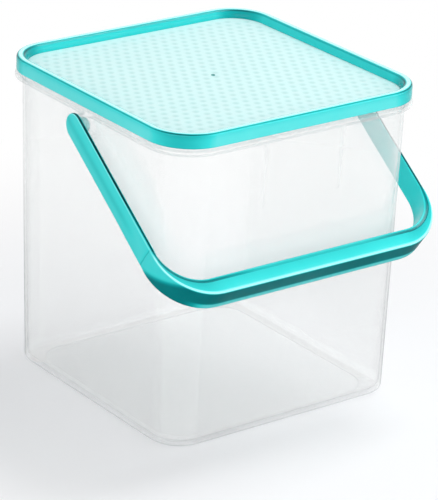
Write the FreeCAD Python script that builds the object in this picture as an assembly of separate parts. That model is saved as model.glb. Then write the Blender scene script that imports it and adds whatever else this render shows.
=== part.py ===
import FreeCAD, Part
import math
import os

# Square food keeper: a drafted clear tub, a press-on lid and a bail handle that swings over the lid.
# X runs along the handle's pivots, the front faces -Y and Z is up. The origin is the middle of the
# standing plane. Lengths are millimetres and angles are degrees.

# Tub, whose base nests in the lid of another keeper
stacking_clearance = 0.65
mouth_side = 211.0
mouth_corner = 28.5
tub_height = 220.2
wall = 1.8
floor_thickness = 2.2
base_edge_radius = 3.5
floor_edge_radius = 3.0
standing_ring_width = 9.0
standing_ring_height = 1.2

# Flange, neck and snap bead round the tub's mouth
flange_overhang = 5.3
flange_thickness = 3.0
flange_edge_radius = 0.8
neck_height = 10.9
neck_lip_radius = 0.5
neck_bead_height = 1.1
neck_bead_width = 3.2
neck_bead_drop = 3.4
neck_bead_radius = 0.8

# Tapered gussets under the flange, two in front and two behind
gusset_spacing = 66.6
gusset_length = 47.0
gusset_thickness = 1.8
gusset_setback = 1.0
gusset_foot = 1.2

# Lid
skirt_wall = 1.7
skirt_room = 2.8
skirt_gap = 2.4
skirt_bead_height = 1.2
skirt_bead_width = 2.6
skirt_bead_gap = 0.3
skirt_bead_radius = 0.8
skirt_edge_radius = 0.5
rim_roof = 2.0
rim_outer_radius = 2.4
rim_inner_radius = 1.6
plug_wall = 1.7
plug_clearance = 0.35
plug_lead_radius = 0.8
seat_clearance = 0.2
recess_depth = 6.2
panel_thickness = 1.8
gate_radius = 1.3
gate_height = 0.4

# Pivot bosses on the tub and studs on the handle
pivot_drop = 7.2
boss_radius = 8.5
boss_reach = 5.0
stud_radius = 5.0
stud_length = 8.2
stud_lead = 0.8
stud_bead_height = 0.6
stud_bead_width = 1.8
stud_bead_inset = 1.6
stud_bead_slope_share = 0.3
running_clearance = 0.08
end_clearance = 0.5

# Bail handle, whose grip hangs clear of the tub's widest part by the grip gap
rest_angle = 36.2
strap_width = 19.2
strap_thickness = 3.2
grip_gap = 3.4
grip_thickness = 14.0
outer_bend = 39.0
inner_bend = 30.0
outer_edge_radius = 1.5
inner_edge_radius = 1.0
grip_wall = 2.6
grip_top = 3.2
grip_rib = 1.6
grip_rib_pitch = 24.0

# Working values for cuts and for finding edges
overrun = 5.0
touching = 0.01

# Heights and half widths that several pieces share
flange_top = tub_height + flange_thickness
neck_top = flange_top + neck_height
neck_bead_middle = neck_top - neck_bead_drop
rim_top = neck_top + seat_clearance + rim_roof
rim_width = skirt_wall + skirt_room + wall + plug_clearance + plug_wall
skirt_bottom = flange_top + skirt_gap
panel_top = rim_top - recess_depth
panel_bottom = panel_top - panel_thickness
lid_side = mouth_side + 2 * (skirt_room + skirt_wall)
lid_corner = mouth_corner + skirt_room + skirt_wall
recess_side = lid_side - 2 * rim_width
recess_corner = lid_corner - rim_width
base_side = recess_side - 2 * stacking_clearance
base_corner = recess_corner - stacking_clearance
floor_top = standing_ring_height + floor_thickness
flange_edge = mouth_side / 2 + flange_overhang
boss_end = flange_edge + boss_reach
strap_inside = boss_end + end_clearance
strap_outside = strap_inside + strap_thickness
strap_half = strap_width / 2
pivot_height = tub_height - pivot_drop
lean = math.radians(rest_angle)
grip_inside = (mouth_side / 2 + grip_gap + strap_half * math.sin(lean)) / math.cos(lean)
handle_reach = grip_inside + grip_thickness

ACROSS = FreeCAD.Vector(1, 0, 0)
UP = FreeCAD.Vector(0, 0, 1)
ORIGIN = FreeCAD.Vector(0, 0, 0)


def rounded_wire(corners):
    """A closed outline through corners given as (point, radius): a radius of zero keeps one sharp."""
    points = []
    for index, (point, radius) in enumerate(corners):
        before = (corners[index - 1][0] - point).normalize()
        after = (corners[(index + 1) % len(corners)][0] - point).normalize()
        half_angle = before.getAngle(after) / 2
        back_off = radius / math.tan(half_angle)
        inward = (before + after) * (1 / (2 * math.cos(half_angle)))
        middle = point + inward * (radius / math.sin(half_angle) - radius)
        points.append((point + before * back_off, middle, point + after * back_off))
    edges = []
    for index, (start, middle, end) in enumerate(points):
        if corners[index][1] > 0:
            edges.append(Part.Arc(start, middle, end).toShape())
        edges.append(Part.LineSegment(end, points[(index + 1) % len(points)][0]).toShape())
    return Part.Wire(edges)


def rounded_square(side, corner, height):
    """A level square outline with round corners, centred on the vertical axis."""
    half = side / 2
    places = ((half, -half), (half, half), (-half, half), (-half, -half))
    return rounded_wire([(FreeCAD.Vector(x, y, height), corner) for x, y in places])


def slab(side, corner, bottom, top):
    """A flat slab with a rounded square outline."""
    return Part.Face(rounded_square(side, corner, bottom)).extrude(UP * (top - bottom))


def carried_round(side, corner, profile):
    """A profile carried round a rounded square, its corners (outward from the square, height, radius)."""
    half = side / 2
    placed = [(FreeCAD.Vector(half + out, corner - half, up), radius) for out, up, radius in profile]
    path = rounded_square(side, corner, 0)
    return path.makePipeShell([rounded_wire(placed)], True, True)


def turned(profile):
    """A solid turned about the X axis from corners given as (along the axis, radius)."""
    corners = [(FreeCAD.Vector(along, radius, 0), 0) for along, radius in profile]
    return Part.Face(rounded_wire(corners)).revolve(ORIGIN, ACROSS, 360)


def with_mirror(solid):
    """A solid together with its mirror image on the other side of the middle plane."""
    return [solid, solid.mirror(ORIGIN, ACROSS)]


def tub_side(height):
    """The tub's outer side length at a height, growing evenly from the base to the mouth."""
    return base_side + (mouth_side - base_side) * height / tub_height


def tub_corner(height):
    """The tub's outer corner radius at a height."""
    return base_corner + (mouth_corner - base_corner) * height / tub_height


def drafted_block(bottom, inset, edge_radius):
    """The tub's drafted form up to the flange, each side set in alike and the lowest edges rounded."""
    sections = []
    for height in (bottom, tub_height):
        side = tub_side(height) - 2 * inset
        sections.append(rounded_square(side, tub_corner(height) - inset, height))
    block = Part.makeLoft(sections, True, True)
    lowest = [edge for edge in block.Edges if edge.BoundBox.ZMax < bottom + touching]
    return block.makeFillet(edge_radius, lowest)


def mouth_ring():
    """Flange, neck and snap bead as one section carried round the mouth."""
    profile = [
        (-wall, tub_height, 0),
        (flange_overhang, tub_height, flange_edge_radius),
        (flange_overhang, flange_top, flange_edge_radius),
        (0, flange_top, 0),
        (0, neck_bead_middle - neck_bead_width / 2, 0),
        (neck_bead_height, neck_bead_middle, neck_bead_radius),
        (0, neck_bead_middle + neck_bead_width / 2, 0),
        (0, neck_top, neck_lip_radius),
        (-wall, neck_top, neck_lip_radius),
    ]
    return carried_round(mouth_side, mouth_corner, profile)


def gussets():
    """Upright gussets that carry the flange: they taper down the wall to a blunt foot."""
    foot = tub_height - gusset_length
    outline = [
        (flange_edge - gusset_setback, tub_height),
        (tub_side(foot) / 2 + gusset_foot, foot),
        (tub_side(foot) / 2 - wall / 2, foot),
        (mouth_side / 2 - wall / 2, tub_height),
    ]
    made = []
    for facing in (-1, 1):
        corners = [(FreeCAD.Vector(0, facing * out, up), 0) for out, up in outline]
        gusset = Part.Face(rounded_wire(corners)).extrude(ACROSS * gusset_thickness)
        for place in (-gusset_spacing / 2, gusset_spacing / 2):
            made.append(gusset.translated(ACROSS * (place - gusset_thickness / 2)))
    return made


def stud_outline(start, grow, room):
    """The pivot stud's half section, made larger by grow and longer by room for the bore round it."""
    radius = stud_radius + grow
    tip = strap_inside - stud_length - room
    bead_end = tip + stud_bead_inset
    bead_start = bead_end + stud_bead_width + 2 * room
    slope = stud_bead_width * stud_bead_slope_share
    return [
        (start, 0),
        (start, radius),
        (bead_start, radius),
        (bead_start - slope, radius + stud_bead_height),
        (bead_end + slope, radius + stud_bead_height),
        (bead_end, radius),
        (tip + stud_lead, radius),
        (tip, radius - stud_lead),
        (tip, 0),
    ]


def container_body():
    """The clear tub with its floor, standing ring, flange, neck, gussets and pivot bosses."""
    tub = drafted_block(0, 0, base_edge_radius)
    inside = drafted_block(floor_top, wall, floor_edge_radius)
    hollow_side = base_side - 2 * (base_edge_radius + standing_ring_width)
    hollow = slab(hollow_side, base_corner - base_edge_radius, -overrun, standing_ring_height)
    boss_root = tub_side(pivot_height) / 2 - wall / 2
    boss_middle = FreeCAD.Vector(boss_root, 0, pivot_height)
    boss = Part.makeCylinder(boss_radius, boss_end - boss_root, boss_middle, ACROSS)
    bore = turned(stud_outline(boss_end + overrun, running_clearance, end_clearance))
    bore.translate(UP * pivot_height)
    tub = tub.cut(inside).cut(hollow)
    tub = tub.multiFuse([mouth_ring()] + gussets() + with_mirror(boss))
    return tub.cut(Part.makeCompound(with_mirror(bore))).removeSplitter()


def lid():
    """The press-on lid: an inverted channel over the neck, closed by a recessed panel."""
    roof = rim_top - rim_roof
    plug_face = plug_wall - rim_width
    bead_top = neck_bead_middle - neck_bead_width / 2 - skirt_bead_gap
    bead_middle = bead_top - skirt_bead_width / 2
    profile = [
        (0, skirt_bottom, skirt_edge_radius),
        (0, rim_top, rim_outer_radius),
        (-rim_width, rim_top, rim_inner_radius),
        (-rim_width, panel_bottom, 0),
        (plug_face, panel_bottom, plug_lead_radius),
        (plug_face, roof, 0),
        (-skirt_wall, roof, 0),
        (-skirt_wall, bead_top, 0),
        (-skirt_wall - skirt_bead_height, bead_middle, skirt_bead_radius),
        (-skirt_wall, bead_top - skirt_bead_width, 0),
        (-skirt_wall, skirt_bottom, skirt_edge_radius),
    ]
    channel = carried_round(lid_side, lid_corner, profile)
    panel = slab(recess_side + plug_wall, recess_corner + plug_wall / 2, panel_bottom, panel_top)
    gate_foot = FreeCAD.Vector(0, 0, panel_top - panel_thickness / 2)
    gate = Part.makeCylinder(gate_radius, panel_thickness / 2 + gate_height, gate_foot, UP)
    return channel.multiFuse([panel, gate]).removeSplitter()


def bail_region(half_span, reach, bend, back, bottom, top):
    """The filled space inside a bail outline that opens to the back, as a slab between two levels."""
    corners = [
        (FreeCAD.Vector(half_span, back, bottom), 0),
        (FreeCAD.Vector(half_span, -reach, bottom), bend),
        (FreeCAD.Vector(-half_span, -reach, bottom), bend),
        (FreeCAD.Vector(-half_span, back, bottom), 0),
    ]
    return Part.Face(rounded_wire(corners)).extrude(UP * (top - bottom))


def rim_edges(solid, half_span, reach, bend):
    """The edges that run round one side of the strap: along its top, round its ends and back below."""
    found = []
    for edge in solid.Edges:
        spot = edge.valueAt((edge.FirstParameter + edge.LastParameter) / 2)
        across = abs(spot.x) - (half_span - bend)
        ahead = -spot.y - (reach - bend)
        if across > 0 and ahead > 0:
            depth = math.hypot(across, ahead) - bend
        else:
            depth = max(across, ahead) - bend
        crosswise = abs(spot.z) < touching and spot.y < 0
        if abs(depth) < touching and not crosswise:
            found.append(edge)
    return found


def grip_hollow():
    """The room moulded out of the grip from below, between its walls and cross ribs."""
    floor = -strap_half - overrun
    ceiling = strap_half - grip_top
    back = strap_half + overrun
    room = bail_region(
        strap_outside - grip_wall, handle_reach - grip_wall, outer_bend - grip_wall, back, floor, ceiling
    )
    core = bail_region(
        strap_inside + grip_wall, grip_inside + grip_wall, inner_bend + grip_wall, back, floor, ceiling
    )
    ribs = []
    side_ribs = int((strap_outside - outer_bend) / grip_rib_pitch)
    for index in range(-side_ribs, side_ribs + 1):
        place = index * grip_rib_pitch - grip_rib / 2
        foot = FreeCAD.Vector(place, -handle_reach, floor)
        ribs.append(Part.makeBox(grip_rib, grip_thickness, ceiling - floor, foot))
    return room.cut(Part.makeCompound([core] + ribs))


def carry_handle():
    """The bail: thin straps that thicken through the bends into the grip, with two pivot studs."""
    back = strap_half + overrun
    outside = bail_region(strap_outside, handle_reach, outer_bend, back, -strap_half, strap_half)
    inside = bail_region(strap_inside, grip_inside, inner_bend, back + overrun, -strap_half, strap_half)
    span_start = FreeCAD.Vector(-strap_outside, 0, 0)
    round_ends = Part.makeCylinder(strap_half, 2 * strap_outside, span_start, ACROSS)
    front_start = FreeCAD.Vector(-strap_outside, -handle_reach, -strap_half)
    front = Part.makeBox(2 * strap_outside, handle_reach, strap_width, front_start)
    bail = outside.cut(inside).common(round_ends.fuse(front)).removeSplitter()
    bail = bail.makeFillet(outer_edge_radius, rim_edges(bail, strap_outside, handle_reach, outer_bend))
    bail = bail.makeFillet(inner_edge_radius, rim_edges(bail, strap_inside, grip_inside, inner_bend))
    bail = bail.cut(grip_hollow())
    stud = turned(stud_outline(strap_inside + strap_thickness / 2, 0, 0))
    bail = bail.multiFuse(with_mirror(stud)).removeSplitter()
    bail.rotate(ORIGIN, ACROSS, rest_angle)
    return bail.translated(UP * pivot_height)


os.makedirs("parts", exist_ok=True)
for node, solid in (("container_body", container_body()), ("lid", lid()), ("carry_handle", carry_handle())):
    print(node, len(solid.Solids), solid.isValid(), round(solid.Volume), solid.BoundBox)
    solid.exportStep("parts/" + node + ".step")
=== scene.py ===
# %% [markdown]
# # A square food keeper with a bail handle
# The object is three plastic mouldings: an almost clear tub, a teal lid that presses over the tub's
# neck, and a teal handle that swings over the lid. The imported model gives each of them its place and
# size, so this lesson starts by loading it and adds the looks: smooth surfaces, finishes, light and a
# camera. All lengths below are written in millimetres and turned into metres when a mesh is made.

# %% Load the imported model
import bmesh
import bpy
import numpy as np
from mathutils import Matrix


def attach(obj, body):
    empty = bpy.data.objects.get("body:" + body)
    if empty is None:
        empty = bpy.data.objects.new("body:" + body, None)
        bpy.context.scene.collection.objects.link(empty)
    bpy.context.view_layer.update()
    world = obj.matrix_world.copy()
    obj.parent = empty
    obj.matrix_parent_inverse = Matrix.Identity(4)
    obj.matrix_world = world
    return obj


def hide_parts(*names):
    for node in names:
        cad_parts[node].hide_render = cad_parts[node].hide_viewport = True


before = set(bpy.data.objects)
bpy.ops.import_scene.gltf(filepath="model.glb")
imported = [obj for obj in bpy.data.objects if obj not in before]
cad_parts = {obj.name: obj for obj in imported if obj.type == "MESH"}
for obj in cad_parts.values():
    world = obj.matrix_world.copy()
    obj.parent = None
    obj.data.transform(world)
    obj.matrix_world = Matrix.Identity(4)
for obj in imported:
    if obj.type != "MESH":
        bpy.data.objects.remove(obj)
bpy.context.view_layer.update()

MM = 0.001

# %% [markdown]
# ## The camera
# A camera can be placed by eye, but here its place was worked out from the outlines of the lid, the base
# and the handle in the picture. It stands left of the front, 22 degrees up, and leans by about two
# degrees. A long lens keeps the upright edges of the tub almost parallel.

# %% Camera
PICTURE = np.array([438.0, 500.0])
azimuth, elevation, lean = np.radians([-37.295, 22.425, 2.341])
distance, focal_pixels = 2142.8, 2958.0
target = np.array([2.79, -11.62, 99.19])

backward = np.array([
    np.sin(azimuth) * np.cos(elevation),
    -np.cos(azimuth) * np.cos(elevation),
    np.sin(elevation),
])
horizontal = np.array([np.cos(azimuth), np.sin(azimuth), 0.0])
upward = np.cross(backward, horizontal)
sideways = np.cos(lean) * horizontal + np.sin(lean) * upward
upright = -np.sin(lean) * horizontal + np.cos(lean) * upward

lens = bpy.data.cameras.new("photo_camera")
lens.sensor_width = 36.0
lens.lens = focal_pixels * lens.sensor_width / PICTURE.max()
lens.clip_end = 20.0
camera = bpy.data.objects.new("photo_camera", lens)
placing = np.eye(4)
placing[:3, :3] = np.stack([sideways, upright, backward], axis=1)
placing[:3, 3] = (target + distance * backward) * MM
camera.matrix_world = Matrix(placing.tolist())
bpy.context.scene.collection.objects.link(camera)
bpy.context.scene.camera = camera
print("lens", round(lens.lens, 1), "mm at", np.round(placing[:3, 3], 3), "m")

# %% [markdown]
# ## Helpers for surfaces
# Every new piece here is a grid of points: rows one way, columns the other. A grid can close on itself
# either way, like a tube or a ring. One function turns grids into a mesh object, another checks by the
# signed volume that a closed surface faces outwards. Points that meet at a seam or a pole are merged,
# and the piece is shaded smooth with its sharp edges kept.


# %% Grids into meshes
MERGE_MM, SLIVER_MM = 0.002, 0.001


def grid_faces(rows, columns, close_rows, close_columns):
    """Quads of a grid: each point with its neighbours in the next row and the next column."""
    row = np.arange(rows if close_rows else rows - 1)[:, None]
    column = np.arange(columns if close_columns else columns - 1)[None, :]
    next_row, next_column = (row + 1) % rows, (column + 1) % columns
    corners = [
        row * columns + column,
        row * columns + next_column,
        next_row * columns + next_column,
        next_row * columns + column,
    ]
    return np.stack(np.broadcast_arrays(*corners), axis=-1).reshape(-1, 4)


def outward(points, faces):
    """Turns all quads round where the volume they enclose comes out negative."""
    a, b, c, d = (points[faces[:, k]] for k in range(4))
    volume = np.sum(a * np.cross(b, c)) + np.sum(a * np.cross(c, d))
    return faces if volume > 0 else faces[:, ::-1]


def make_piece(name, parts, body, material, sharp_angle=40.0):
    """One mesh object from parts, each (points in mm, quads, point values by attribute name)."""
    starts = np.cumsum([0] + [len(points) for points, faces, values in parts])
    points = np.concatenate([points for points, faces, values in parts]) * MM
    faces = np.concatenate([faces + start for (_, faces, _), start in zip(parts, starts)])
    mesh = bpy.data.meshes.new(name)
    mesh.from_pydata(points.tolist(), [], faces.tolist())
    for key in sorted(set(key for part in parts for key in part[2])):
        filled = [part[2].get(key, np.zeros(len(part[0]))) for part in parts]
        layer = mesh.attributes.new(key, "FLOAT", "POINT")
        layer.data.foreach_set("value", np.concatenate(filled).astype(np.float32))
    merged = bmesh.new()
    merged.from_mesh(mesh)
    bmesh.ops.remove_doubles(merged, verts=merged.verts, dist=MERGE_MM * MM)
    bmesh.ops.dissolve_degenerate(merged, edges=merged.edges, dist=SLIVER_MM * MM)
    merged.to_mesh(mesh)
    merged.free()
    mesh.shade_smooth()
    mesh.set_sharp_from_angle(angle=np.radians(sharp_angle))
    mesh.materials.append(material)
    made = bpy.data.objects.new(name, mesh)
    bpy.context.scene.collection.objects.link(made)
    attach(made, body)
    print(name, len(mesh.vertices), "points", len(mesh.polygons), "faces")
    return made


print("a tube of 3 rows and 4 columns has", len(grid_faces(3, 4, False, True)), "quads")

# %% [markdown]
# ## Helpers for outlines
# A moulding has no knife edges: each corner of its section is a small arc. One function rounds all the
# corners of a section at once, another carries the section round a square with round corners, and a
# third turns it about the pivot line.


# %% Rounded outlines, carried round and turned
def rounded_outline(corners, steps=5):
    """A closed section through corners (across, up, radius). Each corner becomes an arc whose centre lies
    on the bisector, at the radius divided by the sine of half the corner's angle."""
    corners = np.asarray(corners, float)
    spot, radius = corners[:, :2], corners[:, 2:]
    back = np.roll(spot, 1, axis=0) - spot
    ahead = np.roll(spot, -1, axis=0) - spot
    back /= np.linalg.norm(back, axis=1, keepdims=True)
    ahead /= np.linalg.norm(ahead, axis=1, keepdims=True)
    middle = back + ahead
    middle /= np.linalg.norm(middle, axis=1, keepdims=True)
    half = np.arccos(np.clip(np.sum(back * middle, axis=1, keepdims=True), -1, 1))
    centre = spot + middle * radius / np.sin(half)
    first = spot + back * radius / np.tan(half) - centre
    last = spot + ahead * radius / np.tan(half) - centre
    start = np.arctan2(first[:, 1], first[:, 0])
    turn = np.arctan2(last[:, 1], last[:, 0]) - start
    turn = (turn + np.pi) % (2 * np.pi) - np.pi
    angle = start[:, None] + turn[:, None] * np.linspace(0, 1, steps)
    arc = np.stack([np.cos(angle), np.sin(angle)], axis=-1) * radius[:, None]
    return (centre[:, None] + arc).reshape(-1, 2)


def refined(section, longest):
    """The same closed section with points added on its straight parts, none further apart than longest."""
    closed = np.concatenate([section, section[:1]])
    run = np.concatenate([[0], np.cumsum(np.linalg.norm(np.diff(closed, axis=0), axis=1))])
    spots = np.union1d(run[:-1], np.arange(0, run[-1], longest))
    return np.stack([np.interp(spots, run, closed[:, k]) for k in (0, 1)], axis=-1)


def smooth_step(value):
    """0 below 0, 1 above 1, and a smooth rise between: 3 t squared - 2 t cubed."""
    t = np.clip(value, 0, 1)
    return t * t * (3 - 2 * t)


def carried_round(half, corner, section, steps=22):
    """A section (outward, up) carried round a square: at each point of the section the square's half side
    and its corner radius grow alike by the outward distance."""
    angle = (np.arange(4)[:, None] * 90 + np.linspace(0, 90, steps)).ravel()
    angle = np.radians(angle)
    side_x = np.repeat([1, -1, -1, 1], steps)
    side_y = np.repeat([1, 1, -1, -1], steps)
    out, up = section[:, :1], section[:, 1:]
    reach = corner + out
    x = (half - corner) * side_x + reach * np.cos(angle)
    y = (half - corner) * side_y + reach * np.sin(angle)
    points = np.stack([x, y, np.broadcast_to(up, x.shape)], axis=-1).reshape(-1, 3)
    return points, outward(points, grid_faces(len(section), 4 * steps, True, True))


def turned(section, steps=40):
    """A section (along X, radius) turned about the X axis."""
    angle = np.linspace(0, 2 * np.pi, steps, endpoint=False)
    along, radius = section[:, :1], section[:, 1:]
    x = np.broadcast_to(along, (len(section), steps))
    points = np.stack([x, radius * np.cos(angle), radius * np.sin(angle)], axis=-1).reshape(-1, 3)
    return points, outward(points, grid_faces(len(section), steps, False, True))


small_square = rounded_outline([(0, 0, 2), (10, 0, 2), (10, 10, 2), (0, 10, 2)])
print("a 10 mm square with 2 mm corners has", len(small_square), "points")

# %% [markdown]
# ## Helpers for finishes
# Colours are written as the hex values one would read off a screen and turned to linear light by one
# function. Another adds any node with its settings, constants and links.


# %% Colours and nodes
def linear(hex_colour):
    """sRGB hex to linear light: below 0.04045 divide by 12.92, above it use the 2.4 power curve."""
    screen = np.array([int(hex_colour[k:k + 2], 16) for k in (1, 3, 5)]) / 255
    light = np.where(screen <= 0.04045, screen / 12.92, ((screen + 0.055) / 1.055) ** 2.4)
    return (*light.tolist(), 1.0)


def add_node(tree, kind, values=None, **settings):
    """Adds a node. Values go to its inputs by name or number: a constant is set, an output is linked."""
    node = tree.nodes.new(kind)
    for key, value in settings.items():
        setattr(node, key, value)
    for key, value in (values or {}).items():
        if isinstance(value, bpy.types.NodeSocket):
            tree.links.new(value, node.inputs[key])
        else:
            node.inputs[key].default_value = value
    return node


def new_finish(name):
    """An empty node material with its output, ready for a shader."""
    material = bpy.data.materials.new(name)
    material.use_nodes = True
    material.node_tree.nodes.clear()
    return material, material.node_tree, add_node(material.node_tree, "ShaderNodeOutputMaterial")


POLYPROPYLENE_IOR = 1.49
WHITE = linear("#FFFFFF")
print("mid grey is", round(linear("#808080")[0], 3), "in linear light")

# %% [markdown]
# ## Clear polypropylene
# The tub is natural polypropylene, injection moulded in a polished mould. Glass would be too clear for it:
# the plastic is a little milky. A wall met head-on hides little of what is behind it, and a wall met
# edge-on, where sight crosses much more plastic, hides more. So the milk is a veil whose cover grows with
# the angle, and where a wall is met edge-on its colour is also greyed, as painted shade that draws a
# grey-white line. Most of the light that this milk catches is scattered onwards and not lost,
# so shadow rays meet a much thinner veil than sight does.

# %% Milk and veil of the tub
# What this gives the eye: faint flow marks, walls that are nearly nothing, and edges that draw the shape.
# The flow marks have their real width. The stipple is finer on the real tub and coarser here, to show.
TUB_FLOW_MM, TUB_STIPPLE_MM = 35.0, 1.2
HEAD_ON_COVER, EDGE_ON_COVER, SHADOW_SHARE = 0.11, 0.85, 0.25
tub_finish, tree, output = new_finish("clear_polypropylene")
place = add_node(tree, "ShaderNodeTexCoord").outputs["Object"]
flow = add_node(tree, "ShaderNodeTexNoise", {
    "Vector": place, "Scale": 1 / (TUB_FLOW_MM * MM), "Detail": 2.0,
})
stipple = add_node(tree, "ShaderNodeTexNoise", {
    "Vector": place, "Scale": 1 / (TUB_STIPPLE_MM * MM), "Detail": 1.0,
})
milk = add_node(tree, "ShaderNodeMix", {
    0: flow.outputs["Fac"], 6: linear("#F9FBFB"), 7: linear("#FEFFFF"),
}, data_type="RGBA")
facing = add_node(tree, "ShaderNodeLayerWeight", {"Blend": 0.15}).outputs["Facing"]
cover = add_node(tree, "ShaderNodeMapRange", {
    "Value": facing, "To Min": HEAD_ON_COVER, "To Max": EDGE_ON_COVER,
})
# Painted shade: where a wall is met edge-on, its milk is tinted grey.
grazing = add_node(tree, "ShaderNodeMapRange", {"Value": facing, "From Min": 0.3, "From Max": 0.8})
edge_shade_grey = add_node(tree, "ShaderNodeMix", {
    0: grazing.outputs["Result"], 6: milk.outputs[2], 7: linear("#B4BBC2"),
}, data_type="RGBA")
ray = add_node(tree, "ShaderNodeLightPath")
thinner = add_node(tree, "ShaderNodeMapRange", {
    "Value": ray.outputs["Is Shadow Ray"], "To Min": 1.0, "To Max": SHADOW_SHARE,
})
veil = add_node(tree, "ShaderNodeMath", {
    0: cover.outputs["Result"], 1: thinner.outputs["Result"],
}, operation="MULTIPLY")
print(tub_finish.name, len(tree.nodes), "nodes so far")

# %% Finish of the tub
haze = add_node(tree, "ShaderNodeMapRange", {
    "Value": flow.outputs["Fac"], "From Min": 0.3, "From Max": 0.7, "To Min": 0.10, "To Max": 0.18,
})
ripple = add_node(tree, "ShaderNodeBump", {
    "Height": stipple.outputs["Fac"], "Strength": 0.02, "Distance": 0.05 * MM,
})
shader = add_node(tree, "ShaderNodeBsdfPrincipled", {
    "Base Color": edge_shade_grey.outputs[2],
    "Roughness": haze.outputs["Result"],
    "IOR": POLYPROPYLENE_IOR,
    "Transmission Weight": 0.3,
    "Alpha": veil.outputs[0],
    "Normal": ripple.outputs["Normal"],
})
tree.links.new(shader.outputs["BSDF"], output.inputs["Surface"])
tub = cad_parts["container_body"]
tub.data.materials.clear()
tub.data.materials.append(tub_finish)
print(tub.name, "now has", tub_finish.name)

# %% [markdown]
# ## Teal polypropylene
# The lid and the handle are the same tinted, half clear polypropylene. How deep its colour looks depends
# on how much plastic the light has crossed: thin roofs and lips look pale, a wall seen edge-on looks
# almost petrol. Real light paths would need a slow volume, so each mesh stores that depth as a point
# value instead, and a colour ramp turns it into the tint. The same value also carries painted shade and
# painted highlights, set by where each face lies, as noted where each mesh sets it.

# %% Tint of the lid's rim and the handle
# What this gives the eye: a clean teal that goes from mint to petrol with the shape, and a soft gloss.
# The clouds are colour drift about as wide as the real one. The stipple is drawn coarser than it is, to show.
TEAL_CLOUD_MM, TEAL_STIPPLE_MM = 18.0, 0.8
DEPTH_TINTS = [
    (0.0, "#CDFBFA"), (0.2, "#7CEBEB"), (0.42, "#36D4D3"),
    (0.66, "#0EA9AA"), (0.88, "#048184"), (1.0, "#013A3D"),
]
teal_finish, tree, output = new_finish("teal_polypropylene")
place = add_node(tree, "ShaderNodeTexCoord").outputs["Object"]
cloud = add_node(tree, "ShaderNodeTexNoise", {
    "Vector": place, "Scale": 1 / (TEAL_CLOUD_MM * MM), "Detail": 2.0,
})
stipple = add_node(tree, "ShaderNodeTexNoise", {
    "Vector": place, "Scale": 1 / (TEAL_STIPPLE_MM * MM), "Detail": 1.0,
})
depth = add_node(tree, "ShaderNodeAttribute", attribute_name="depth")
drift = add_node(tree, "ShaderNodeMapRange", {
    "Value": cloud.outputs["Fac"], "To Min": -0.03, "To Max": 0.03,
})
crossed = add_node(tree, "ShaderNodeMath", {
    0: depth.outputs["Fac"], 1: drift.outputs["Result"],
}, operation="ADD")
tint = add_node(tree, "ShaderNodeValToRGB", {"Fac": crossed.outputs[0]})
while len(tint.color_ramp.elements) < len(DEPTH_TINTS):
    tint.color_ramp.elements.new(0.5)
for stop, (position, colour) in zip(tint.color_ramp.elements, DEPTH_TINTS):
    stop.position, stop.color = position, linear(colour)
print(len(DEPTH_TINTS), "tints from", DEPTH_TINTS[0][1], "to", DEPTH_TINTS[-1][1])

# %% Finish of the lid's rim and the handle
gloss = add_node(tree, "ShaderNodeMapRange", {
    "Value": cloud.outputs["Fac"], "To Min": 0.14, "To Max": 0.24,
})
ripple = add_node(tree, "ShaderNodeBump", {
    "Height": stipple.outputs["Fac"], "Strength": 0.03, "Distance": 0.05 * MM,
})
shader = add_node(tree, "ShaderNodeBsdfPrincipled", {
    "Base Color": tint.outputs["Color"],
    "Roughness": gloss.outputs["Result"],
    "IOR": POLYPROPYLENE_IOR,
    "Specular IOR Level": 0.12,
    "Subsurface Weight": 0.25,
    "Subsurface Radius": (0.35, 1.0, 1.0),
    "Subsurface Scale": 1.5 * MM,
    "Normal": ripple.outputs["Normal"],
})
tree.links.new(shader.outputs["BSDF"], output.inputs["Surface"])
print(teal_finish.name, len(tree.nodes), "nodes")

# %% [markdown]
# ## Teal polypropylene, painted pale
# The lid's panel is the same plastic, but thin. It lies over the bright inside of the tub and faces the
# light from above, so it looks much paler than the rim: partly for its thin plastic, and partly because that
# light is painted into its colour. Its top is covered with shallow round dimples. They are real shape in the
# mesh; the finish also paints their floors a little darker, as shade, and makes them duller.

# %% Finish of the panel
# What this gives the eye: a pale, satin sheet with rows of faint darker dots.
# The clouds are as wide as real colour drift. The stipple is drawn coarser than it is, to show.
PANEL_CLOUD_MM, PANEL_STIPPLE_MM = 40.0, 0.9
panel_finish, tree, output = new_finish("teal_polypropylene_painted_pale")
place = add_node(tree, "ShaderNodeTexCoord").outputs["Object"]
cloud = add_node(tree, "ShaderNodeTexNoise", {
    "Vector": place, "Scale": 1 / (PANEL_CLOUD_MM * MM), "Detail": 2.0,
})
stipple = add_node(tree, "ShaderNodeTexNoise", {
    "Vector": place, "Scale": 1 / (PANEL_STIPPLE_MM * MM), "Detail": 1.0,
})
dimple = add_node(tree, "ShaderNodeAttribute", attribute_name="dimple").outputs["Fac"]
# Partly painted light: the pale colour holds the light through the thin sheet and a sheen from above.
tint = add_node(tree, "ShaderNodeMix", {
    0: cloud.outputs["Fac"], 6: linear("#CAEEEE"), 7: linear("#D1F1F1"),
}, data_type="RGBA")
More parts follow.
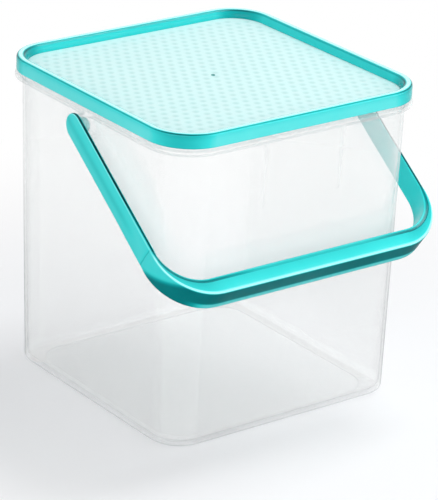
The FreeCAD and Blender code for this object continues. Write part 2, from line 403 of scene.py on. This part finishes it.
# Painted shade: the floors of the dimples are tinted darker.
dimple_shade = add_node(tree, "ShaderNodeMix", {
    0: dimple, 6: tint.outputs[2], 7: linear("#B9E1E0"),
}, data_type="RGBA")
gloss = add_node(tree, "ShaderNodeMapRange", {"Value": dimple, "To Min": 0.28, "To Max": 0.5})
ripple = add_node(tree, "ShaderNodeBump", {
    "Height": stipple.outputs["Fac"], "Strength": 0.05, "Distance": 0.05 * MM,
})
shader = add_node(tree, "ShaderNodeBsdfPrincipled", {
    "Base Color": dimple_shade.outputs[2],
    "Roughness": gloss.outputs["Result"],
    "IOR": POLYPROPYLENE_IOR,
    "Specular IOR Level": 0.15,
    "Subsurface Weight": 0.3,
    "Subsurface Radius": (0.6, 1.0, 1.0),
    "Subsurface Scale": 2.0 * MM,
    "Normal": ripple.outputs["Normal"],
})
tree.links.new(shader.outputs["BSDF"], output.inputs["Surface"])
print(panel_finish.name, len(tree.nodes), "nodes")

# %% [markdown]
# ## The lid's rim
# Cut the lid through and its edge is an upside-down channel: a skirt outside, a plug inside, a rounded
# rim over both and a snap bead inside the skirt. A modelled cube with bevels could make it, but a section
# carried round the square keeps every radius exact. The rim's inner edge has a wide rounding, which shows
# from the front as a broad teal band on the far side.

# %% Section of the rim
LID_HALF, LID_CORNER = 110.0, 33.0
SKIRT_BOTTOM, RIM_TOP, ROOF = 225.6, 236.3, 234.3
PANEL_TOP, PANEL_BOTTOM = 230.1, 228.3
RIM_WIDTH, SKIRT, PLUG = 8.35, 1.7, 1.7
OUTER_ROUND, INNER_ROUND = 2.4, 5.4
BEAD_TOP, BEAD_MIDDLE, BEAD_BOTTOM, BEAD_REACH = 228.8, 227.5, 226.2, 1.2

rim_section = rounded_outline([
    (0.0, SKIRT_BOTTOM, 0.5),
    (0.0, RIM_TOP, OUTER_ROUND),
    (-RIM_WIDTH, RIM_TOP, INNER_ROUND),
    (-RIM_WIDTH, PANEL_BOTTOM, 0.1),
    (PLUG - RIM_WIDTH, PANEL_BOTTOM, 0.8),
    (PLUG - RIM_WIDTH, ROOF, 0.3),
    (-SKIRT, ROOF, 0.3),
    (-SKIRT, BEAD_TOP, 0.1),
    (-SKIRT - BEAD_REACH, BEAD_MIDDLE, 0.8),
    (-SKIRT, BEAD_BOTTOM, 0.1),
    (-SKIRT, SKIRT_BOTTOM, 0.5),
], steps=13)
rim_section = refined(rim_section, 0.5)
print("rim section of", len(rim_section), "points")

# %% [markdown]
# Now the depth of colour along that section. The inner rounding is deeper, with a deeper line across it,
# where sight crosses more plastic. The flat roof is paler, partly for its thin plastic and partly as a
# painted sheen of the light from above. The rest is painted shade: a dark line where the roof turns down
# into the skirt, a darker band just below it, a deeper skirt foot, and deeper corners of the square.

# %% Rim of the lid
SKIRT_DEPTH, ROOF_PALER_AND_SHEEN, CORNER_SHADE = 0.32, 0.28, 0.26
EDGE_LINE_SHADE, FOOT_SHADE, BELOW_TOP_SHADE, INWARD_DARKER, LINE_DARKER = 0.46, 0.12, 0.08, 0.18, 0.22
across, up = rim_section.T
round_across, round_up = INNER_ROUND - RIM_WIDTH, RIM_TOP - INNER_ROUND
slope = np.degrees(np.arctan2(round_across - across, up - round_up))
slope = np.where((across < round_across) & (up > PANEL_TOP - 0.5), np.clip(slope, 0, 90), 0)
inward = smooth_step((slope - 13.0) / 10.0)
inward_line = np.exp(-((slope - 32.0) / 8.0) ** 2)
# The roof is made paler partly for its thin plastic and partly as a painted sheen of light from above.
on_roof = smooth_step((up - RIM_TOP + 0.9) / 0.8) * smooth_step((-0.9 - across) / 1.2)
on_roof = on_roof * (1 - inward)
# Painted shade: a dark line at the roof's outer edge, a darker band just below it and a darker skirt foot.
top_corner = np.exp(-((across + 0.7) ** 2 + (up - RIM_TOP + 0.6) ** 2) / 0.5 ** 2)
below_top = np.exp(-np.abs(RIM_TOP - 2.0 - up) / 1.6) * (across > -0.8)
foot = smooth_step((SKIRT_BOTTOM + 0.8 - up) / 0.6)
rim_depth = (
    SKIRT_DEPTH - ROOF_PALER_AND_SHEEN * on_roof + EDGE_LINE_SHADE * top_corner + FOOT_SHADE * foot
    + BELOW_TOP_SHADE * below_top + INWARD_DARKER * inward + LINE_DARKER * inward_line
)
rim_points, rim_faces = carried_round(LID_HALF, LID_CORNER, rim_section)
corner_steps = len(rim_points) // len(rim_section) // 4
# Painted shade: the corners of the square are tinted deeper.
corner_turn = np.tile(np.sin(2 * np.linspace(0, np.pi / 2, corner_steps)), 4)
rim_depth = (rim_depth[:, None] + CORNER_SHADE * corner_turn * (1 - on_roof)[:, None]).ravel()
lid_rim = make_piece(
    "lid_rim", [(rim_points, rim_faces, {"depth": rim_depth})], "lid", teal_finish,
)
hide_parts("lid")

# %% [markdown]
# ## The dimpled panel
# The panel is a flat sheet with round corners and rows of dimples, each row shifted by half a step. Bump
# in the finish would vanish at the edges of a close view, so the dimples are in the mesh. A flat square
# grid is bent to the panel's round corners: in each corner a square patch is pressed into a quarter disc.
# The dimples then lower the points, by a smooth bowl inside each dimple's radius.

# %% Dimples
RECESS_HALF, RECESS_CORNER = LID_HALF - RIM_WIDTH, LID_CORNER - RIM_WIDTH
DIMPLE_PITCH, DIMPLE_RADIUS, DIMPLE_DEPTH, PANEL_MARGIN = 8.58, 3.0, 0.25, 4.5


def into_round_corners(x, y, half, corner):
    """Presses the square patch at each corner into a quarter disc: with p and q the shares of the corner
    radius, p becomes p times the root of 1 - q squared / 2, and q likewise."""
    inner = half - corner
    p = np.maximum(np.abs(x) - inner, 0) / corner
    q = np.maximum(np.abs(y) - inner, 0) / corner
    new_p, new_q = p * np.sqrt(1 - q * q / 2), q * np.sqrt(1 - p * p / 2)
    return x + np.sign(x) * corner * (new_p - p), y + np.sign(y) * corner * (new_q - q)


def dimple_bowl(x, y):
    """How deep in a dimple a point lies, from 0 at the edge to 1 in the middle: 1 - (distance over radius)
    squared, for the nearest centre on rows a root of 3/4 of a pitch apart, every second one shifted."""
    row_step = DIMPLE_PITCH * np.sqrt(0.75)
    inner = RECESS_HALF - RECESS_CORNER
    bowl = np.zeros_like(x)
    for shift in (0, 1):
        row = 2 * np.round((y / row_step - 0.5 - shift) / 2) + shift
        half_step = 0.5 * (1 - shift)
        centre_x = (np.round(x / DIMPLE_PITCH - half_step) + half_step) * DIMPLE_PITCH
        centre_y = (row + 0.5) * row_step
        away = np.hypot(x - centre_x, y - centre_y)
        past_x, past_y = np.maximum(np.abs(centre_x) - inner, 0), np.maximum(np.abs(centre_y) - inner, 0)
        inside = np.hypot(past_x, past_y) < RECESS_CORNER - PANEL_MARGIN
        bowl = np.maximum(bowl, np.where(inside, 1 - (away / DIMPLE_RADIUS) ** 2, 0))
    return bowl


print("dimples every", DIMPLE_PITCH, "mm in rows", round(DIMPLE_PITCH * np.sqrt(0.75), 2), "mm apart")

# %% Panel of the lid
count = 262
share = np.linspace(-1, 1, count)
edge_half = RECESS_HALF + PLUG / 2
flat_x, flat_y = np.meshgrid(share * edge_half, share * edge_half, indexing="ij")
top_x, top_y = into_round_corners(flat_x, flat_y, edge_half, RECESS_CORNER + PLUG / 2)
bowl = dimple_bowl(top_x, top_y)
panel_top = np.stack([top_x, top_y, PANEL_TOP - DIMPLE_DEPTH * bowl], axis=-1).reshape(-1, 3)
panel_top_faces = grid_faces(count, count, False, False)[:, ::-1]

# The underside is rings from the border in to a pole, so that the sheet is closed all round.
index = np.arange(count * count).reshape(count, count)
border = np.concatenate([index[0, :-1], index[:-1, -1], index[-1, :0:-1], index[:0:-1, 0]])
border_flat = panel_top[border] * [1, 1, 0]
under_rings = [border_flat * size + [0, 0, PANEL_BOTTOM] for size in (1, 0.5, 0)]
under = np.stack([panel_top[border], *under_rings])
under_faces = grid_faces(len(under), len(border), False, True)
lid_panel = make_piece("lid_panel", [
    (panel_top, panel_top_faces, {"dimple": bowl.ravel()}),
    (under.reshape(-1, 3), under_faces, {}),
], "lid", panel_finish, sharp_angle=60.0)

# %% [markdown]
# ## The bail handle
# The handle is a strap bent into a U. Along the arms it is thin; through the bends it thickens into a
# grip, which is hollow below and stiffened by cross ribs. A curve with a bevel can't change its section
# like that. So two outlines are drawn in the handle's own plane, an inner and an outer one, each an arm, a
# quarter circle and half of the grip. Points are paired along them, and each pair carries one section.

# %% Handle outlines
REST_ANGLE = np.radians(36.2)
PIVOT_HEIGHT = 213.0
STRAP_IN, STRAP_OUT, STRAP_HALF = 116.3, 119.5, 9.6
MOUTH_HALF, GRIP_CLEAR, GRIP_THICK = 105.5, 3.4, 14.0
GRIP_IN = (MOUTH_HALF + GRIP_CLEAR + STRAP_HALF * np.sin(REST_ANGLE)) / np.cos(REST_ANGLE)
GRIP_OUT = GRIP_IN + GRIP_THICK
BEND_OUT, BEND_IN = 39.0, 30.0
CREASE = 111.0


def along_outline(length, strap, grip, bend):
    """The point of a half outline at a length from the pivot: up the straight arm, round a quarter circle,
    and in along the grip. Past each end of the circle its angle stays and the straight parts take over."""
    angle = np.clip((length - (grip - bend)) / bend, 0, np.pi / 2)
    before = np.minimum(length - (grip - bend), 0)
    after = np.maximum(length - (grip - bend) - bend * np.pi / 2, 0)
    across = strap - bend + bend * np.cos(angle) - after
    along = grip - bend + bend * np.sin(angle) + before
    return np.stack([across, along], axis=-1)


arm_end = GRIP_IN - BEND_IN
bend_in_end = STRAP_IN - BEND_IN
round_end = -STRAP_HALF * np.cos(np.linspace(0.06, np.pi / 2, 16))
arm = np.union1d(np.linspace(0, arm_end, 34)[1:], CREASE + np.array([-0.5, -0.2, 0.2, 0.5]))
turn = np.linspace(0, 1, 34)[1:]
grip = np.linspace(0, bend_in_end, 20)[1:]
inner_arc = BEND_IN * np.pi / 2
inner_length = np.concatenate([
    round_end, arm, arm_end + turn * inner_arc, arm_end + inner_arc + grip,
])

outer_angle = np.arccos((bend_in_end - STRAP_OUT + BEND_OUT) / BEND_OUT)
outer_arc = GRIP_OUT - BEND_OUT - arm_end + BEND_OUT * outer_angle
x_left = bend_in_end - grip
outer_grip = np.where(
    x_left > STRAP_OUT - BEND_OUT,
    BEND_OUT * np.arccos(np.clip((x_left - STRAP_OUT + BEND_OUT) / BEND_OUT, -1, 1)),
    BEND_OUT * np.pi / 2 + STRAP_OUT - BEND_OUT - x_left,
) + GRIP_OUT - BEND_OUT
outer_length = np.concatenate([round_end, arm, arm_end + turn * outer_arc, outer_grip])

mirror = np.array([-1, 1])
outer_half = along_outline(outer_length, STRAP_OUT, GRIP_OUT, BEND_OUT)
inner_half = along_outline(inner_length, STRAP_IN, GRIP_IN, BEND_IN)
outer_line = np.concatenate([outer_half, outer_half[-2::-1] * mirror])
inner_line = np.concatenate([inner_half, inner_half[-2::-1] * mirror])
thickness = np.linalg.norm(outer_line - inner_line, axis=1)
print(len(outer_line), "sections,", round(thickness.min(), 2), "to", round(thickness.max(), 2), "mm thick")

# %% [markdown]
# ## The handle's outer and inner faces
# Each section is measured by its level, across the strap's width, and its reach, from the inner outline
# to the outer one. Both faces fall back in a quarter circle at their edges. The outer face is crowned
# along the arms, and a fine crease crosses each arm where the mould's insert ended.


# %% Handle faces
def edge_round(distance, radius):
    """How far a rounded edge falls back at a distance from the outline: a quarter circle of that radius."""
    left = radius - np.clip(distance, 0, radius)
    return radius - np.sqrt(np.maximum(radius ** 2 - left ** 2, 0))


CROWN, UPPER_CROWN, CREASE_DEEP, CREASE_WIDE = 0.25, 0.45, 0.15, 0.3
thick = thickness[:, None]
along_arm = (outer_line[:, 1:] + inner_line[:, 1:]) / 2
to_grip = smooth_step((thick - 3.3) / 7.0)
to_bend = smooth_step((along_arm - arm_end) / 6.0)
past_pivot = np.minimum(along_arm, 0)
half_width = np.sqrt(np.maximum(STRAP_HALF ** 2 - past_pivot ** 2, 0))
across_share = np.sin(np.linspace(-1, 1, 31) * np.pi / 2)
level = across_share * half_width
from_edge = STRAP_HALF - np.hypot(past_pivot, level)
from_middle = 1 - from_edge / STRAP_HALF

round_out, round_in = 0.8 + 0.7 * to_grip, 0.5 + 0.5 * to_grip
upper_arm = 1 - smooth_step((along_arm - 70.0) / 30.0)
crown = (CROWN + UPPER_CROWN * upper_arm) * (1 - to_bend)
crease = np.exp(-((along_arm - CREASE) / CREASE_WIDE) ** 2)
outer_face = thick - edge_round(from_edge, round_out) - crown * from_middle ** 2 - CREASE_DEEP * crease
inner_face = edge_round(from_edge, round_in)
print("crown up to", round(float(crown.max()), 2), "mm on faces of", level.shape[1], "points")

# %% [markdown]
# Their depth of colour, much of it painted light: painted shade down the middle and along the lower edge
# of the upper arms and in the crease; a painted highlight along the upper edge, with a dark hairline
# beside it on the arms; a painted reflection along the grip's lower lip; and petrol where the grip is
# thick, partly its real depth and partly painted shade on its downward face.

# %% Colour of the handle's faces
ARM_DEPTH, STRIPE_SHADE, LOWER_EDGE_SHADE, CREASE_SHADE, GRIP_DEPTH_AND_SHADE = 0.40, 0.10, 0.14, 0.35, 0.5
EDGE_HIGHLIGHT, LIP_HIGHLIGHT, INNER_DEPTH = 0.12, 0.3, 0.44
# Painted shade: a darker stripe down the middle of the upper arms and along their lower edge.
stripe = np.exp(-(across_share / 0.3) ** 2)
lower_edge = smooth_step((0.9 - level - half_width) / 0.6)
# Partly real depth, partly painted shade: the thick grip is deepened most on its lower, downward-facing part.
thick_low = to_bend * smooth_step((thick - 5.2 - 3.0 * level / STRAP_HALF) / 2.0)
# Painted shade in the crease that crosses each arm.
outer_depth = (
    ARM_DEPTH + upper_arm * (STRIPE_SHADE * stripe + LOWER_EDGE_SHADE * lower_edge)
    + CREASE_SHADE * crease + GRIP_DEPTH_AND_SHADE * thick_low
)
# Painted highlight: a pale line along the upper edge, with the dark hairline of the narrow side beside it on
# the arms.
upper_edge = smooth_step((level - half_width + 1.0) / 0.4)
hairline = smooth_step((level - half_width + 0.4) / 0.2) * (1 - to_bend) * (0.5 + 0.5 * upper_arm)
outer_depth = outer_depth + (EDGE_HIGHLIGHT + (1 - EDGE_HIGHLIGHT) * hairline - outer_depth) * upper_edge
# Painted reflection: a pale line along the lower lip of the bends and the grip.
lower_lip = smooth_step((-level - 3.4) / 1.0) * smooth_step((106.0 - np.abs(outer_line[:, :1])) / 16.0)
outer_depth = outer_depth + (LIP_HIGHLIGHT - outer_depth) * lower_lip
inner_depth = INNER_DEPTH + 0 * level
print("depth on the outer face from", np.round([outer_depth.min(), outer_depth.max()], 2))

# %% [markdown]
# ## The handle's upper side
# Seen from above, the grip has a broad roof, then a fine sunk line, then a narrow band that bevels down to
# the inner face. On the arms the line and the bevel fade to nothing, so the same columns of points serve
# the whole length.

# %% Handle's upper side
BAND_SHARE, BAND_WIDE, LINE_DEEP, BEVEL_DEEP = 0.55, 2.4, 0.3, 0.8
GRIP_ROOF_SHEEN_AND_THIN = (0.60, 0.56, 0.52)
top_out, top_in = outer_face[:, -1:], inner_face[:, -1:]
band = top_in + np.minimum(BAND_SHARE * (top_out - top_in), BAND_WIDE)
line = LINE_DEEP * to_bend
bevel = BEVEL_DEEP * to_bend
roof = top_out - band - line
top_reach = np.concatenate([
    top_out - 0.15 * roof, top_out - 0.6 * roof,
    band + line, band + 0.3 * line, band - 0.3 * line, band - line,
    0.5 * (band - line + top_in), top_in + 0.1,
], axis=1)
no_drop = 0 * thick
top_drop = np.concatenate([
    no_drop, no_drop, no_drop, line, line, 0.15 * bevel, 0.5 * bevel, 0.95 * bevel,
], axis=1)
top_level = half_width - top_drop
inner_level = level[:, ::-1] - bevel * smooth_step((level[:, ::-1] - half_width + 3.0) / 3.0)

from_middle_x = np.abs(inner_line[:, :1])
in_bend = smooth_step((from_middle_x - bend_in_end + 10.0) / 20.0)
into_grip = smooth_step((bend_in_end - from_middle_x) / 45.0)
# Partly thin roof over the hollow, partly painted sheen: the grip's roof is paler, a little less so in the
# bends.
roof_depth = [1.0 - (light - 0.10 * in_bend) * to_bend for light in GRIP_ROOF_SHEEN_AND_THIN]
line_depth = 1.0 - 0.08 * to_bend - 0.30 * into_grip
band_depth = 1.0 - 0.12 * to_bend - 0.33 * into_grip
top_depth = np.concatenate([
    *roof_depth, line_depth, line_depth, band_depth, band_depth, 0.6 * band_depth,
], axis=1)
print("band", round(float((band - top_in).max()), 2), "mm wide, line", round(float(line.max()), 2), "mm deep")

# %% [markdown]
# ## The handle's hollow
# A thick grip would sink as it cools, so it is moulded as an upside-down channel of even walls. The hollow
# opens as the strap gets thicker than two walls: its ceiling rises from the lower edge to under the roof.

# %% Handle's hollow
GRIP_WALL, GRIP_ROOF = 2.6, 3.2
room = smooth_step((thick - 2 * GRIP_WALL) / 2.0)
wall_in = np.where(thick > 2 * GRIP_WALL, GRIP_WALL, thick / 2)
wall_out = np.where(thick > 2 * GRIP_WALL, thick - GRIP_WALL, thick / 2)
ceiling = -half_width + room * (2 * STRAP_HALF - GRIP_ROOF)
lip = 0.5 * room
bottom_reach = np.concatenate([
    wall_in - lip, wall_in, wall_in, wall_out, wall_out, wall_out + lip,
], axis=1)
bottom_level = np.concatenate([
    -half_width, lip - half_width, ceiling, ceiling, lip - half_width, -half_width,
], axis=1)
lip_depth, hollow_depth = 0.9 - 0.8 * room, 0.9 - 0.4 * room
bottom_depth = np.concatenate([
    lip_depth, lip_depth, hollow_depth, hollow_depth, lip_depth, lip_depth,
], axis=1)
print("hollow up to", round(float((wall_out - wall_in).max()), 2), "mm wide")

# %% [markdown]
# ## One surface for the bail
# The four stretches of each section, outer face, upper side, inner face and underside, now join into one
# loop. All loops together are a tube from one arm's round end to the other's, closed by a point at each
# end, and one function leans it into the place where the handle rests.


# %% Handle surface
def hung(across, along, up):
    """The handle's own plane into the object's frame: it leans down by the rest angle at the pivots."""
    back = -along * np.cos(REST_ANGLE) - up * np.sin(REST_ANGLE)
    rise = PIVOT_HEIGHT - along * np.sin(REST_ANGLE) + up * np.cos(REST_ANGLE)
    return np.stack(np.broadcast_arrays(across, back, rise), axis=-1)


loop_reach = np.concatenate([outer_face, top_reach, inner_face[:, ::-1], bottom_reach], axis=1)
loop_level = np.concatenate([level, top_level, inner_level, bottom_level], axis=1)
loop_depth = np.concatenate([outer_depth, top_depth, inner_depth, bottom_depth], axis=1)
outwards = (outer_line - inner_line) / thick
flat = inner_line[:, None] + loop_reach[..., None] * outwards[:, None]
loop = np.concatenate([flat, loop_level[..., None]], axis=-1)
ends = [np.broadcast_to(tip.mean(axis=0), (1,) + tip.shape) for tip in (loop[0], loop[-1])]
loop = np.concatenate([ends[0], loop, ends[1]])
loop_depth = np.concatenate([loop_depth[:1], loop_depth, loop_depth[-1:]])
bail_points = hung(loop[..., 0], loop[..., 1], loop[..., 2]).reshape(-1, 3)
sections, around = loop_depth.shape
bail_faces = outward(bail_points, grid_faces(sections, around, False, True))
print(sections, "sections of", around, "points, widest", round(np.abs(bail_points[:, 0]).max(), 3))

# %% [markdown]
# ## Ribs and studs
# Inside the grip, thin plates cross the hollow. At the arms' ends, studs with a snap bead point inwards
# and turn in the tub's bosses. The plates are one box shape repeated along X, and the studs are a section
# turned about the pivot line.

# %% Ribs, studs and the whole handle
RIB_PITCH, RIB_COUNT, RIB_HALF = 24.0, 7, 0.8
RIB_DEPTH, STUD_PALE_LIFT = 0.4, 0.04
RIB_NEAR, RIB_FAR, RIB_LOW, RIB_HIGH = 1.6, 12.4, -9.4, 6.6
rib_middle = RIB_PITCH * (np.arange(RIB_COUNT) - RIB_COUNT // 2)
box_across = RIB_HALF * np.array([-1, 1, 1, -1, -1, 1, 1, -1])
box_along = np.array([RIB_NEAR, RIB_NEAR, RIB_FAR, RIB_FAR] * 2)
box_up = np.array([RIB_LOW] * 4 + [RIB_HIGH] * 4)
rib_points = hung(rib_middle[:, None] + box_across, GRIP_IN + box_along, box_up).reshape(-1, 3)
box_faces = np.array([
    [3, 2, 1, 0], [4, 5, 6, 7], [0, 1, 5, 4], [1, 2, 6, 5], [2, 3, 7, 6], [3, 0, 4, 7],
])
rib_faces = (np.arange(RIB_COUNT)[:, None, None] * 8 + box_faces).reshape(-1, 4)
rib_faces = outward(rib_points, rib_faces)

stud_section = np.array([
    (117.9, 0.0), (117.9, 5.0), (111.5, 5.0), (110.96, 5.6), (110.24, 5.6), (109.7, 5.0),
    (108.9, 5.0), (108.3, 4.6), (108.1, 4.0), (108.1, 0.0),
])
stud_points, stud_faces = turned(stud_section)
stud_points = stud_points + np.array([0, 0, PIVOT_HEIGHT])
other_stud = stud_points * np.array([-1, 1, 1])
rib_depth = np.full(len(rib_points), RIB_DEPTH)
# Painted light: the studs are tinted almost white, so they don't read dark in the shade inside the bosses.
stud_depth = np.full(len(stud_points), STUD_PALE_LIFT)
carry_handle = make_piece("carry_handle_shell", [
    (bail_points, bail_faces, {"depth": loop_depth.ravel()}),
    (rib_points, rib_faces, {"depth": rib_depth}),
    (stud_points, stud_faces, {"depth": stud_depth}),
    (other_stud, stud_faces[:, ::-1], {"depth": stud_depth}),
], "carry_handle", teal_finish)
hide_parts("carry_handle")

# %% [markdown]
# ## The gate mark
# Plastic enters the lid's mould through one small gate in the middle of the panel, which leaves a nub
# with a pit, coloured a darker teal than the lid. It is a section turned about the upright axis.

# %% Gate mark on the panel
# What the finish gives the eye: a dull nub in a darker teal, with flecks about as wide as the real ones.
GATE_FLECK_MM = 0.6
gate_section = np.array([
    (-0.3, 0.0), (-0.3, 1.6), (0.15, 1.5), (0.4, 1.3), (0.4, 0.9), (0.05, 0.7), (0.0, 0.0),
]) + [PANEL_TOP, 0]
gate_points, gate_faces = turned(gate_section, steps=24)
gate_points = gate_points[:, [1, 2, 0]]
gate_finish, tree, output = new_finish("dark_teal_polypropylene")
place = add_node(tree, "ShaderNodeTexCoord").outputs["Object"]
fleck = add_node(tree, "ShaderNodeTexNoise", {"Vector": place, "Scale": 1 / (GATE_FLECK_MM * MM)})
tint = add_node(tree, "ShaderNodeMix", {
    0: fleck.outputs["Fac"], 6: linear("#2C7F7B"), 7: linear("#49A29D"),
}, data_type="RGBA")
shader = add_node(tree, "ShaderNodeBsdfPrincipled", {
    "Base Color": tint.outputs[2], "Roughness": 0.35, "IOR": POLYPROPYLENE_IOR,
})
tree.links.new(shader.outputs["BSDF"], output.inputs["Surface"])
gate_mark = make_piece("gate_mark", [(gate_points, gate_faces, {})], "lid", gate_finish)

# %% [markdown]
# ## The floor
# The keeper stands on a plain sweep of white card that runs up behind it. A curved card could be modelled,
# but a flat floor does the same: near the object it is matt and takes the shadow, and further off it
# blends into plain white wherever the camera, a gloss or clear plastic looks at it. For light that only
# bounces, the floor is greyer, so that it doesn't brighten the object from below. Close in, a gloss
# mirrors it darker still: this is painted shade, a dark tone that stands for the object's shade on the
# card, so the grip's lower face stays deep teal.

# %% Colour of the floor
# What this gives the eye: matt card with hardly any mottling, which is as wide as that of real card.
CARD_MOTTLE_MM, CARD_LIFT = 300.0, 0.12
floor_finish, tree, output = new_finish("white_studio_floor")
place = add_node(tree, "ShaderNodeTexCoord").outputs["Object"]
mottle = add_node(tree, "ShaderNodeTexNoise", {"Vector": place, "Scale": 1 / (CARD_MOTTLE_MM * MM)})
path = add_node(tree, "ShaderNodeLightPath")
direct = add_node(tree, "ShaderNodeMath", {
    0: path.outputs["Is Camera Ray"], 1: path.outputs["Is Transmission Ray"],
}, operation="MAXIMUM")
seen = add_node(tree, "ShaderNodeMath", {
    0: direct.outputs[0], 1: path.outputs["Is Glossy Ray"],
}, operation="MAXIMUM")
dim = add_node(tree, "ShaderNodeMix", {
    0: mottle.outputs["Fac"], 6: linear("#A9A9AC"), 7: linear("#ADADAF"),
}, data_type="RGBA")
bright = add_node(tree, "ShaderNodeMix", {
    0: mottle.outputs["Fac"], 6: linear("#E0E0E2"), 7: linear("#E2E2E4"),
}, data_type="RGBA")
# Painted shade: the dark tone that glosses see on the card close to the object.
gloss_shade = add_node(tree, "ShaderNodeMix", {
    0: mottle.outputs["Fac"], 6: linear("#5A5A5C"), 7: linear("#5E5E60"),
}, data_type="RGBA")
bounced = add_node(tree, "ShaderNodeMix", {
    0: path.outputs["Is Glossy Ray"], 6: dim.outputs[2], 7: gloss_shade.outputs[2],
}, data_type="RGBA")
tint = add_node(tree, "ShaderNodeMix", {
    0: direct.outputs[0], 6: bounced.outputs[2], 7: bright.outputs[2],
}, data_type="RGBA")
matt = add_node(tree, "ShaderNodeBsdfDiffuse", {"Color": tint.outputs[2]})
print(floor_finish.name, len(tree.nodes), "nodes so far")

# %% Floor
SWEEP_START, SWEEP_END, FLOOR_HALF = 0.16, 0.5, 4.0
away = add_node(tree, "ShaderNodeVectorMath", {0: place}, operation="LENGTH")
far = add_node(tree, "ShaderNodeMapRange", {
    "Value": away.outputs["Value"], "From Min": SWEEP_START, "From Max": SWEEP_END,
}, interpolation_type="SMOOTHSTEP")
backdrop = add_node(tree, "ShaderNodeMath", {
    0: seen.outputs[0], 1: far.outputs["Result"],
}, operation="MULTIPLY")
lift = add_node(tree, "ShaderNodeMath", {0: direct.outputs[0], 1: CARD_LIFT}, operation="MULTIPLY")
glow = add_node(tree, "ShaderNodeEmission", {"Color": WHITE, "Strength": lift.outputs[0]})
near = add_node(tree, "ShaderNodeAddShader", {0: matt.outputs[0], 1: glow.outputs[0]})
white = add_node(tree, "ShaderNodeEmission", {"Color": WHITE, "Strength": 1.0})
sweep = add_node(tree, "ShaderNodeMixShader", {
    0: backdrop.outputs[0], 1: near.outputs[0], 2: white.outputs[0],
})
tree.links.new(sweep.outputs[0], output.inputs["Surface"])
floor_corners = FLOOR_HALF * np.array([(-1, -1, 0), (1, -1, 0), (1, 1, 0), (-1, 1, 0)])
floor_mesh = bpy.data.meshes.new("floor")
floor_mesh.from_pydata(floor_corners.tolist(), [], [(0, 1, 2, 3)])
floor_mesh.materials.append(floor_finish)
floor = bpy.data.objects.new("floor", floor_mesh)
bpy.context.scene.collection.objects.link(floor)
print("floor", 2 * FLOOR_HALF, "m wide")

# %% [markdown]
# ## World and lamps
# A product studio has an even fill from all round, a lamp high up that draws the shadow, and large soft
# boxes at the sides. The world is the fill, and shows as plain white wherever it is looked at. The key lamp
# stands high on the right and throws the soft shadow to the left; the two wide lamps light the sides.


# %% World and lamps
def soft_lamp(name, towards, away, size, watts):
    """A square lamp at a distance in a direction from the object's middle, turned to face it."""
    towards = np.asarray(towards, float) / np.linalg.norm(towards)
    data = bpy.data.lights.new(name, "AREA")
    data.shape, data.size, data.energy = "SQUARE", size, watts
    right = np.cross([0, 0, 1.0], towards)
    right /= np.linalg.norm(right)
    placing = np.eye(4)
    placing[:3, :3] = np.stack([right, np.cross(towards, right), towards], axis=1)
    placing[:3, 3] = towards * away + [0, 0, 0.12]
    lamp = bpy.data.objects.new(name, data)
    lamp.matrix_world = Matrix(placing.tolist())
    bpy.context.scene.collection.objects.link(lamp)
    print(name, watts, "W,", size, "m wide")


FILL_LIGHT, SEEN_WHITE = 0.45, 1.0
world = bpy.data.worlds.new("white_studio")
bpy.context.scene.world = world
world.use_nodes = True
tree = world.node_tree
tree.nodes.clear()
path = add_node(tree, "ShaderNodeLightPath")
looked_at = add_node(tree, "ShaderNodeMath", {
    0: path.outputs["Is Camera Ray"], 1: path.outputs["Is Glossy Ray"],
}, operation="MAXIMUM")
seen = add_node(tree, "ShaderNodeMath", {
    0: looked_at.outputs[0], 1: path.outputs["Is Transmission Ray"],
}, operation="MAXIMUM")
strength = add_node(tree, "ShaderNodeMapRange", {
    "Value": seen.outputs[0], "To Min": FILL_LIGHT, "To Max": SEEN_WHITE,
})
background = add_node(tree, "ShaderNodeBackground", {
    "Color": WHITE, "Strength": strength.outputs["Result"],
})
output = add_node(tree, "ShaderNodeOutputWorld", {"Surface": background.outputs["Background"]})
soft_lamp("key_lamp", (0.45, 0.05, 0.89), 1.6, 0.6, 10.5)
soft_lamp("front_lamp", (0.60, -0.78, 0.14), 1.8, 1.8, 27.0)
soft_lamp("left_lamp", (-0.75, -0.45, 0.18), 1.8, 2.0, 32.0)
bpy.context.scene.view_settings.view_transform = "Standard"
